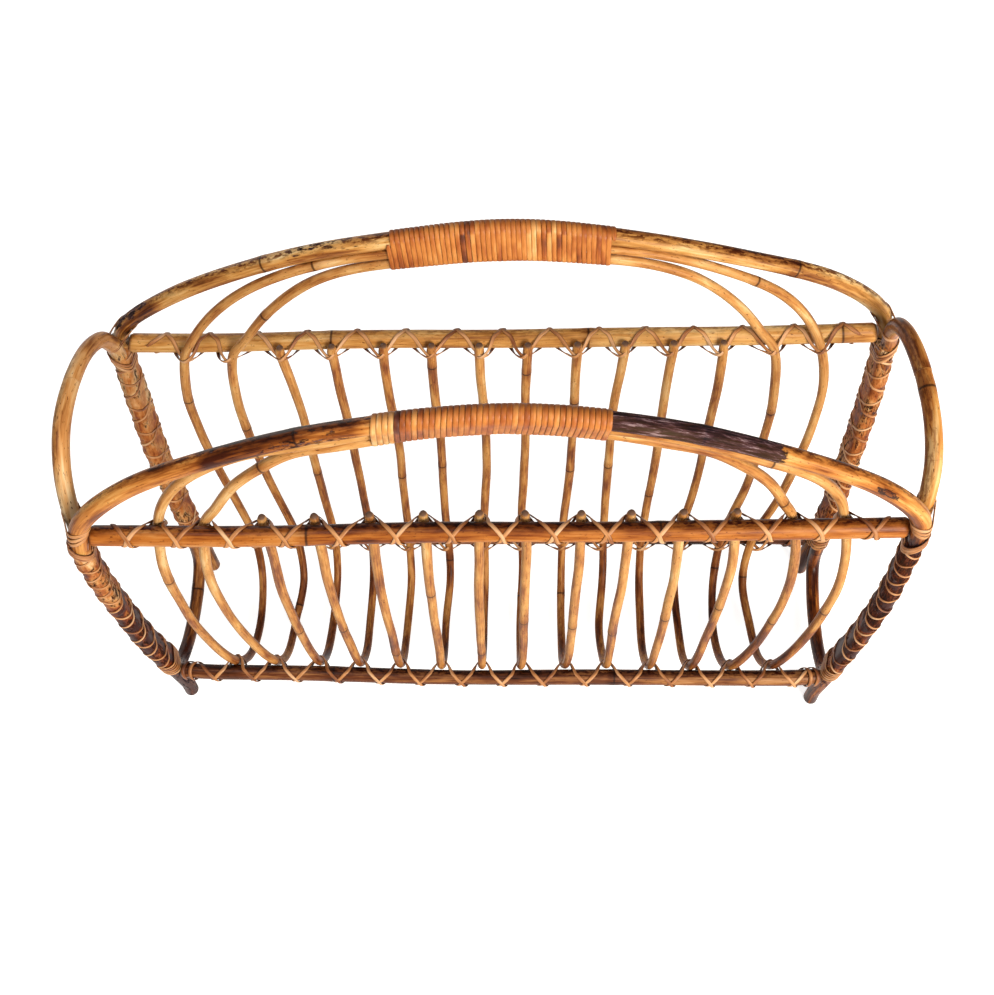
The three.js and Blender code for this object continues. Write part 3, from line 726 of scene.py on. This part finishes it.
shades = [
    ((-150, -64), frontHalf, (280, 400), 1.5), (rightEnd, frontLegs, (60, 262), 1.8),
    (leftEnd, frontLegs, (40, 170), 1.0), (rightEnd, backLegs, (60, 250), 0.8),
    ((-270, -200), (18, 200), (262, 330), 1.4), (leftEnd, frontLegs, (-20, 48), 0.9),
    (rightEnd, frontLegs, (-20, 48), 0.9),
]
marks = {"stains": scorches, "shades": shades}
knots = {"front": [((196, -64, 299), (-0.15, -0.8, 0.58))], "back": []}  # their places and facings
# joints that stand out, in millimetres along the cane; the others fall where they fall
handleJoints = {"front": [418], "back": [693]}
hoopJoints = {"right": [10], "left": [384]}
ribJoints = {0: [298, 732, 896], 1: [486, 793], 5: [438], 6: [508], 8: [306, 510], 9: [438]}
handleSeeds, hoopSeed, railSeed, ribSeed = {"front": 11, "back": 23}, 31, 41, 60
for side, seed in handleSeeds.items():
    path = handleLines[side] if side == "front" else turnedBack(handleLines[side])
    look = dict(handleLook, joints=handleJoints[side], knots=knots[side], **marks)
    mesh = caneMesh(f"cane_handle_{side}", path, legRadius, look, seed)
    dress(mesh, legMaterials[side], "leg_cane", f"handle_{side}")
for end, sense in endSigns.items():
    path = hoopLines[end, "front"] * (sense, 1, 1)
    look = dict(hoopLook, joints=hoopJoints[end], **marks)
    mesh = caneMesh(f"cane_hoop_{end}", path, hoopRadius, look, hoopSeed + sense, closed=True)
    dress(mesh, hoopMaterials[end], "leg_cane", f"hoop_{end}")
for level, rail in rails.items():
    for side, turn in sideSigns.items():
        name = f"rail_{level}_{side}"
        seed = railSeed + turn + len(level)
        mesh = caneMesh(f"cane_{name}", rail["line"] * (1, turn, 1), rail["radius"], railLook, seed)
        dress(mesh, railMaterials[level][side], "rail_cane", name)
for index, path in enumerate(ribLines):
    name = f"rib_{index + 1:02d}"
    look = dict(ribLook, joints=ribJoints.get(index, []))
    mesh = caneMesh(f"cane_{name}", path, ribRadius, look, ribSeed + index)
    dress(mesh, ribMaterial, "rib_cane", name)
print("canes made")


# Lashings: two strands of split cane spiral along each rail, one each way. They cross outside between the
# ribs, and inside on each rib.

lashing = {
    "width": 2.4, "thickness": 0.6, "clearance": 0.15, "overlap": 0.1, "wrapAngle": 112, "endTurn": 150,
    "angleStep": 16, "crossingAngle": {"front": 34, "back": 47}, "crossingBlend": 30, "jitter": 0.7,
    "spread": {"front": 7, "back": 4.9}, "drop": 1.8,
    # where a strand climbs past a rib: how far beside it, how far inside the rail's skin, how high or low
    "besideRib": 0.9, "climbInward": 3.4, "climbRise": 2.3,
}


def railPoint(rail, x, inward, rise, tilt=0):
    line = rail["line"]
    place = x + tilt * rise
    centre = np.array([place, *[np.interp(place, line[:, 0], line[:, k]) for k in (1, 2)]])
    return centre + rail["inward"] * inward + rail["up"] * rise


def strandPath(rail, side, hand, lift, seed):
    chance = np.random.default_rng(seed)
    around = rail["radius"] + lashing["clearance"]
    crest = around + seatGap + 2 * ribRadius + lift
    seats = [point[0] for point, along in rail["seats"]]
    tilts = [along[0] / np.dot(along, rail["up"]) for point, along in rail["seats"]]
    halfPitch = ribPitch / 2
    between = [(a + b) / 2 for a, b in zip(seats, seats[1:])]
    outsides = [seats[0] - halfPitch, *between, seats[-1] + halfPitch]
    outsides = [x + chance.uniform(-lashing["jitter"], lashing["jitter"]) for x in outsides]
    wrap, drop, crossingAngle = lashing["wrapAngle"], lashing["drop"], lashing["crossingAngle"][side]
    points, outward = [], []

    def addPoint(x, inward, rise, facing, tilt=0):
        points.append(railPoint(rail, x, inward, rise, tilt))
        outward.append(rail["inward"] * facing[1] + rail["up"] * facing[2] + np.array([facing[0], 0, 0]))

    def arc(x, first, last):
        for degrees in np.arange(first, last + 1, lashing["angleStep"]):
            angle = radians(degrees)
            reach = around + lift * exp(-(degrees / lashing["crossingBlend"]) ** 2)
            past = hand * degrees - crossingAngle
            room = wrap - copysign(crossingAngle, past)
            share = past / room
            if side == "back" and past > 0:
                # pulled straight down to the rib, so that the two strands meet in a point on top of the rail
                share = (1 - cos(radians(past))) / (1 - cos(radians(room)))
            out, up = -cos(angle), hand * sin(angle)
            addPoint(x + hand * share * lashing["spread"][side], out * reach, up * reach, (0, out, up))

    arc(outsides[0], -lashing["endTurn"], wrap)
    for seat, tilt, outside in zip(seats, tilts, outsides[1:]):
        for sense in (-1, 1):
            rise = -sense * hand
            addPoint(seat + sense * (ribRadius + lashing["besideRib"]),
                     rail["radius"] + lashing["climbInward"] + lift / 2, rise * lashing["climbRise"] - drop,
                     (sense * 1.3, 1.2, rise * 0.5), tilt)
            if sense < 0:
                addPoint(seat, crest, -drop, (0, 1, 0), tilt)
        arc(outside, -wrap, wrap if outside != outsides[-1] else lashing["endTurn"])
    return np.array(points), unit(outward)


bindingLook = {
    "blotch": 20, "patchiness": 0.5, "lightness": 0.55, "toneShare": 0.25, "streak": 0.1, "rim": 0.7,
    "roughness": 0.48, "varnish": 0.04, "shadedSide": (0, 0.85, 0.53), "dustAndShade": 0.5,
    "places": (0, 0.3, 0.6, 1), "colours": ("#4c2210", "#95582c", "#cf9158", "#efc597"),
}
bindingMaterial = splitCane("splitCaneBinding", bindingLook)


def smoothBand(points, outward, perSpan=6):
    path = smoothPath(points, perSpan=perSpan)
    shares = [np.linspace(0, 1, len(line)) for line in (path, points)]
    return path, sampled(*shares, outward)


for level, rail in rails.items():
    for side, turn in sideSigns.items():
        for letter, hand, lift in (("a", 1, 0), ("b", -1, lashing["thickness"] + lashing["overlap"])):
            seed = 100 + len(level) * 7 + turn * 3 + hand
            points, outward = strandPath(rail, side, hand, lift, seed)
            path, facing = smoothBand(points * (1, turn, 1), outward * (1, turn, 1))
            name = f"{level}_{side}_{letter}"
            tone = wander(lengthAlong(path), seed, 90, 0.9)
            mesh = bandMesh(f"binding_{name}", path, facing, lashing, seed, tone)
            dress(mesh, bindingMaterial, "binding", f"lashing_{name}")
print("lashings made")


# Windings

def hullOutline(circles, clearance, count=72, finest=1440):
    # the taut outline round several circles, given as side, down and radius
    angles = np.linspace(0, 2 * pi, finest, endpoint=False)
    normals = np.stack([np.cos(angles), np.sin(angles)], axis=1)
    circles = np.array(circles, float)
    best = (normals @ circles[:, :2].T + circles[:, 2]).argmax(axis=1)
    points = circles[best, :2] + normals * (circles[best, 2] + clearance)[:, None]
    points, normals = np.vstack([points, points[:1]]), np.vstack([normals, normals[:1]])
    place = lengthAlong(points)
    wanted = np.linspace(0, place[-1], count, endpoint=False)
    return sampled(wanted, place, points), sampled(wanted, place, normals)


gripLook = {
    "thickness": 0.36, "clearance": 0.5, "cover": 0.98, "archGap": 0.8,
    "tones": {"pale": 2.4, "dark": -3.2, "brown": -1.6},
    **bindingLook, "blotch": 12, "patchiness": 0.4, "lightness": 0.5, "toneShare": 0.12, "rim": 0.42,
    "roughness": 0.5, "dustAndShade": 0.55,
    "places": (0, 0.3, 0.6, 0.85, 1), "colours": ("#55220a", "#a9571b", "#d2833a", "#e3a45c", "#f2cb8c"),
}
gripMaterial = splitCane("splitCaneGrip", gripLook)

# each grip's middle along X, its length and turns, and the turns that came out pale or dark
grips = {
    "front": {"seed": 7, "middle": -6.6, "length": 113, "turns": 41, "spread": 0.3,
              "pale": (0, 1, 2, 3), "dark": (4,), "brown": (5, 6, 8)},
    "back": {"seed": 8, "middle": -0.5, "length": 121, "turns": 45, "spread": 0.5,
             "pale": (28, 29, 32), "dark": (15,), "brown": (2, 16, 34, 42)},
}


def gripPath(side, grip):
    chance = np.random.default_rng(grip["seed"])
    rib = ribLines[1] if side == "front" else turnedBack(ribLines[1])[::-1]
    circles = [(0, 0, legRadius), *[(0, depth, ribRadius) for depth in (outerDepth, innerDepth)]]
    outline, normals = hullOutline(circles, gripLook["clearance"])
    count = len(outline)
    tones = chance.normal(0, grip["spread"], grip["turns"] + 1)
    for key, value in gripLook["tones"].items():
        tones[list(grip[key])] = value
    points, outward, tone = [], [], []
    for step in range(grip["turns"] * count + 1):
        turn = step / count
        x = grip["middle"] + grip["length"] * (turn / grip["turns"] - 0.5)
        handle = crossing(handleLines[side], 0, x, railHeight)[0]
        under = crossing(rib[:len(rib) // 2], 0, -abs(x) - gripLook["archGap"], railHeight)[0]
        under = under * (0, 1, 1) + np.array([x, 0, 0])
        away = unit(under - handle)
        beside = np.cross((1, 0, 0), away)
        (a, b), (na, nb) = outline[step % count], normals[step % count]
        points.append(handle + beside * a + away * b)
        outward.append(beside * na + away * nb)
        tone.append(tones[int(turn)])
    return np.array(points), np.array(outward), tone


for side, grip in grips.items():
    points, outward, tone = gripPath(side, grip)
    flip = (1, sideSigns[side], 1)
    strip = dict(gripLook, width=grip["length"] / grip["turns"] * gripLook["cover"])
    name = f"winding_grip_{side}"
    mesh = bandMesh(name, points * flip, outward * flip, strip, grip["seed"], tone, step=1.4)
    dress(mesh, gripMaterial, "grip_strip", f"grip_wrap_{side}")
print("grips wound")

legWinding = {
    "turns": 8, "closePitch": 2.9, "setback": 2, "width": 1.9, "thickness": 0.6, "clearance": 0.35,
    "firstPlace": 0.1, "stepOver": 0.07, "pointsPerTurn": 40,
}
# under the strips each corner is wrapped in a broad peel of bark, whose turns overlap like shingles
peel = {"pitch": 24, "step": 1.0, "sides": 56, "thin": 0.15, "thick": 0.65, "girth": 45}
underRail = railHeight - topRailRadius - legWinding["setback"]
overRail = railHeight + topRailRadius + 2
aboveFoot = rails["bottom"]["line"][0][2] + rack["bottomRailRadius"] + legWinding["setback"]
# a tilted strip rises away from the rack's middle, and at the front on the outside too
leanAxis = {"front": (1, -0.8, 0), "back": (1, 0, 0)}


def cornerSection(end, side, height):
    # leg and hoop cut across at a height: the leg's middle, the way to the hoop, square to it, the distance
    leg, along = crossing(handleLines[side][::-1], 2, height)
    along = along * np.sign(along[2])
    inward = unit((0, along[2], -along[1]))
    apart = (legOffset + hoopOffset) * sin(rack["cornerTurn"][side])
    hoop = crossing(hoopLines[end, side], 2, leg[2] + apart * inward[2])[0]
    across = unit(hoop - leg)
    return leg, across, unit(np.cross(along, across)), np.linalg.norm(hoop - leg)


def cornerOutline(apart, clearance, count=72):
    return hullOutline([(0, 0, legRadius), (apart, 0, hoopRadius)], clearance, count)


def peelRise(height, place):
    return peel["thick"] + (peel["thin"] - peel["thick"]) * ((height / peel["pitch"] + place) % 1)


def overStrip(height, place):
    # how near a point is to the strip that goes down, which the other one steps over
    turn = legWinding["turns"] * (underRail - height) / (underRail - aboveFoot)
    away = abs((place - legWinding["firstPlace"] - turn + 0.5) % 1 - 0.5)
    return exp(-(away / legWinding["stepOver"]) ** 2)


def windingPoint(end, side, height, place, over):
    # a point round the leg and the hoop, which way it faces, and where it lies from the middle of the two
    leg, across, square, apart = cornerSection(end, side, height)
    outline, normals = cornerOutline(apart, over)
    first, share = int(place * len(outline)) % len(outline), place * len(outline) % 1
    a, b = outline[first] * (1 - share) + outline[(first + 1) % len(outline)] * share
    na, nb = normals[first]
    return leg + across * a + square * b, across * na + square * nb, across * (a - apart / 2) + square * b


def cornerWinding(end, side, strip):
    first, last, turns, hand, lift, start, tilt = strip
    points, outward = [], []
    for turn in np.linspace(0, turns, int(turns * legWinding["pointsPerTurn"])):
        height = first + (last - first) * turn / turns
        place = (start + hand * turn) % 1
        over = legWinding["clearance"] + lift
        if lift < 0.5 and height < underRail + 1:
            # the long strips lie on the peel, the close ones over everything
            over = peelRise(height, place) + lift * overStrip(height, place)
        outwards = windingPoint(end, side, height, place, over)[2]
        raised = height + tilt * np.dot(outwards, leanAxis[side]) / legRadius
        point, facing, outwards = windingPoint(end, side, raised, place, over)
        points.append(point)
        outward.append(facing)
    return np.array(points), np.array(outward)


close = legWinding["closePitch"]
# each strip: where it starts and stops, its turns, hand, height over the others, first place and tilt
strips = {
    "down": (underRail, aboveFoot, legWinding["turns"], 1, 0, legWinding["firstPlace"], 0),
    "up": (underRail - 2, aboveFoot, legWinding["turns"], -1, 0.35, 0.35, 0),
    "top": (underRail, underRail - 2.9 * close, 3.3, 1, 0.6, 0.6, 5),
    "over": (overRail + 4.5, overRail - 0.8, 2.4, 1, -0.1, 0.25, -2),
    "foot": (aboveFoot + 3.5 * close, aboveFoot - close, 4.4, -1, 0.6, 0.6, 1.5),
}
peelLook = dict(
    handleLook, streak=0.12, patchiness=0.9, blotch=16, flecks=1.0, ring=0.7, lightness=0.52, dustAndShade=0.5,
    height=(20, 240, 0.25), roughness=0.5, specular=0.1,
    charAndSheenPlaces=(0.4, 0.5, 0.58, 0.68), charAndSheen=("#160703", "#331208", "#5e2a15", "#94593a"),
    colours=("#3a1208", "#86401a", "#bb7038", "#d99c60", "#eec694"))
strawPeelLook = dict(peelLook, lightness=0.74, dustAndShade=0.3, patchiness=0.75)
peelMaterials = {"front": varnishedCane("varnishedPeel", peelLook),
                 "back": varnishedCane("varnishedStrawPeel", strawPeelLook)}


def peelMesh(name, end, side, flip, seed):
    heights = np.arange(aboveFoot - 1, underRail + 2, peel["step"])
    places = np.arange(peel["sides"]) / peel["sides"]
    rings, middles = [], []
    for height in heights:
        leg, across, square, apart = cornerSection(end, side, height)
        outline, normals = cornerOutline(apart, 0, peel["sides"])
        section = outline + normals * peelRise(height, places)[:, None]
        rings.append(leg + section[:, :1] * across + section[:, 1:] * square)
        middles.append(leg)
    middles = np.array(middles) * flip
    place = lengthAlong(middles)
    share = (heights[:, None] / peel["pitch"] + places) % 1
    grain = np.stack(np.broadcast_arrays(places * peel["girth"], 0 * share, place[:, None]), axis=-1)
    return ringMesh(name, np.array(rings) * flip, False, {
        # each turn's edge counts as a joint, so the ring and breath paint a dark shadow just below it
        "grain": grain + seed * 31.7, "fromJoint": (1 - share) * peel["pitch"],
        "tone": wander(place, seed, 90, 0.5) - stretches(middles, shades),
        "stain": stretches(middles, scorches), "cutEnd": 0 * place})


# two loops that tie each end of a bottom rail to the foot
railTie = {"turns": 1.7, "points": 70, "inset": 4.1, "pitch": 5, "sway": 2.5, "lift": 0.7, "tone": -1}


def railTiePath():
    rail, points, facing = rails["bottom"], [], []
    reach = rail["radius"] + lashing["clearance"] + railTie["lift"]
    for t in np.linspace(0, railTie["turns"] * 2 * pi, railTie["points"]):
        x = rail["line"][-1][0] - railTie["inset"]
        x = x - railTie["pitch"] * t / 2 / pi + railTie["sway"] * sin(t)
        points.append(railPoint(rail, x, -reach * cos(t), reach * sin(t)))
        facing.append(-rail["inward"] * cos(t) + rail["up"] * sin(t))
    return np.array(points), np.array(facing)


for side, turn in sideSigns.items():
    for end, sense in endSigns.items():
        flip = (sense, turn, 1)
        mesh = peelMesh(f"peel_leg_{side}_{end}", end, side, flip, 400 + sense * 3 + turn)
        dress(mesh, peelMaterials[side], "binding")
        for part, strip in strips.items():
            seed = 200 + turn * 5 + sense * 11 + len(part)
            points, outward = cornerWinding(end, side, strip)
            tone = wander(lengthAlong(points), seed, 70, 1.0)
            name = f"winding_leg_{side}_{end}_{part}"
            mesh = bandMesh(name, points * flip, outward * flip, legWinding, seed, tone)
            nodes = [f"leg_wrap_{side}_{end}"] if part == "down" else []
            dress(mesh, bindingMaterial, "binding", *nodes)
    points, facing = railTiePath()
    tone = wander(lengthAlong(points), 300 + turn, 70, 1.0) + railTie["tone"]
    for end, sense in endSigns.items():
        flip = (sense, turn, 1)
        name = f"winding_rail_{side}_{end}"
        mesh = bandMesh(name, points * flip, facing * flip, lashing, 300 + sense, tone)
        dress(mesh, bindingMaterial, "binding")
print("legs bound")


# The room

def studioFloor():
    # matt paper: the camera sees it near white, and it keeps the rack's soft shadow
    material, add = newMaterial("paperFloor")
    paper = add("BsdfPrincipled", Roughness=0.9, **{"Base Color": hexColour("#f1f0ee")})
    glow = add("Emission", Color=(1, 1, 1, 1), Strength=0.72)
    both = add("AddShader", paper, glow)
    ray = add("LightPath")
    plain = add("BsdfDiffuse", Color=hexColour("#a8a5a0"))
    looked = add("Math", (ray, "Is Camera Ray"), (ray, "Is Glossy Ray"), operation="ADD")
    looked = add("Math", looked, (ray, "Is Transmission Ray"), operation="ADD", use_clamp=True)
    seen = add("MixShader", looked, plain, both)
    add("OutputMaterial", Surface=seen)
    return material


floorHalf = 6.0
floorMesh = bpy.data.meshes.new("floor")
floorCorners = [(x * floorHalf, y * floorHalf, 0) for x, y in ((-1, -1), (1, -1), (1, 1), (-1, 1))]
floorMesh.from_pydata(floorCorners, [], [(0, 1, 2, 3)])
floorMesh.materials.append(studioFloor())
addObject("floor", floorMesh)

lampAim = (0, 0, 0.15)
lamps = {
    "windowLight": {"place": (0.8, -1.3, 0.9), "size": 0.8, "watts": 36, "colour": "#fff7ec"},
    "ceilingLight": {"place": (-0.4, -0.6, 1.9), "size": 0.7, "watts": 7, "colour": "#fbfaff"},
    "fillLight": {"place": (-0.9, 1.4, 0.8), "size": 1.0, "watts": 8, "colour": "#fff9f2"},
}
for name, lamp in lamps.items():
    data = bpy.data.lights.new(name, "AREA")
    data.size = lamp["size"]
    data.energy = lamp["watts"]
    data.color = hexColour(lamp["colour"])[:3]
    light = addObject(name, data)
    light.location = lamp["place"]
    x, y, z = np.array(lampAim) - lamp["place"]
    light.rotation_euler = Euler((atan2(hypot(x, y), -z), 0, atan2(y, x) - pi / 2))

world = bpy.data.worlds.new("studio")
world.use_nodes = True
world.node_tree.nodes.clear()
addToWorld = partial(addNode, world.node_tree)
sky = addToWorld("Background", Color=(1, 1, 1, 1), Strength=0.17)
addToWorld("OutputWorld", Surface=sky)
bpy.context.scene.world = world
bpy.context.scene.view_settings.view_transform = "Standard"

# The photograph was taken from in front and above, a little under a metre away.
view = {"place": (-2.8, -373, 781), "pitch": 57.9, "focalPixels": 1120, "imageWidth": 994, "sensor": 36}
camera = addObject("camera", bpy.data.cameras.new("camera"))
camera.location = np.array(view["place"]) * mm
camera.rotation_euler = Euler((radians(90 - view["pitch"]), 0, 0))
camera.data.sensor_fit = "HORIZONTAL"
camera.data.sensor_width = view["sensor"]
camera.data.lens = view["focalPixels"] / view["imageWidth"] * view["sensor"]
bpy.context.scene.camera = camera
print("room ready")
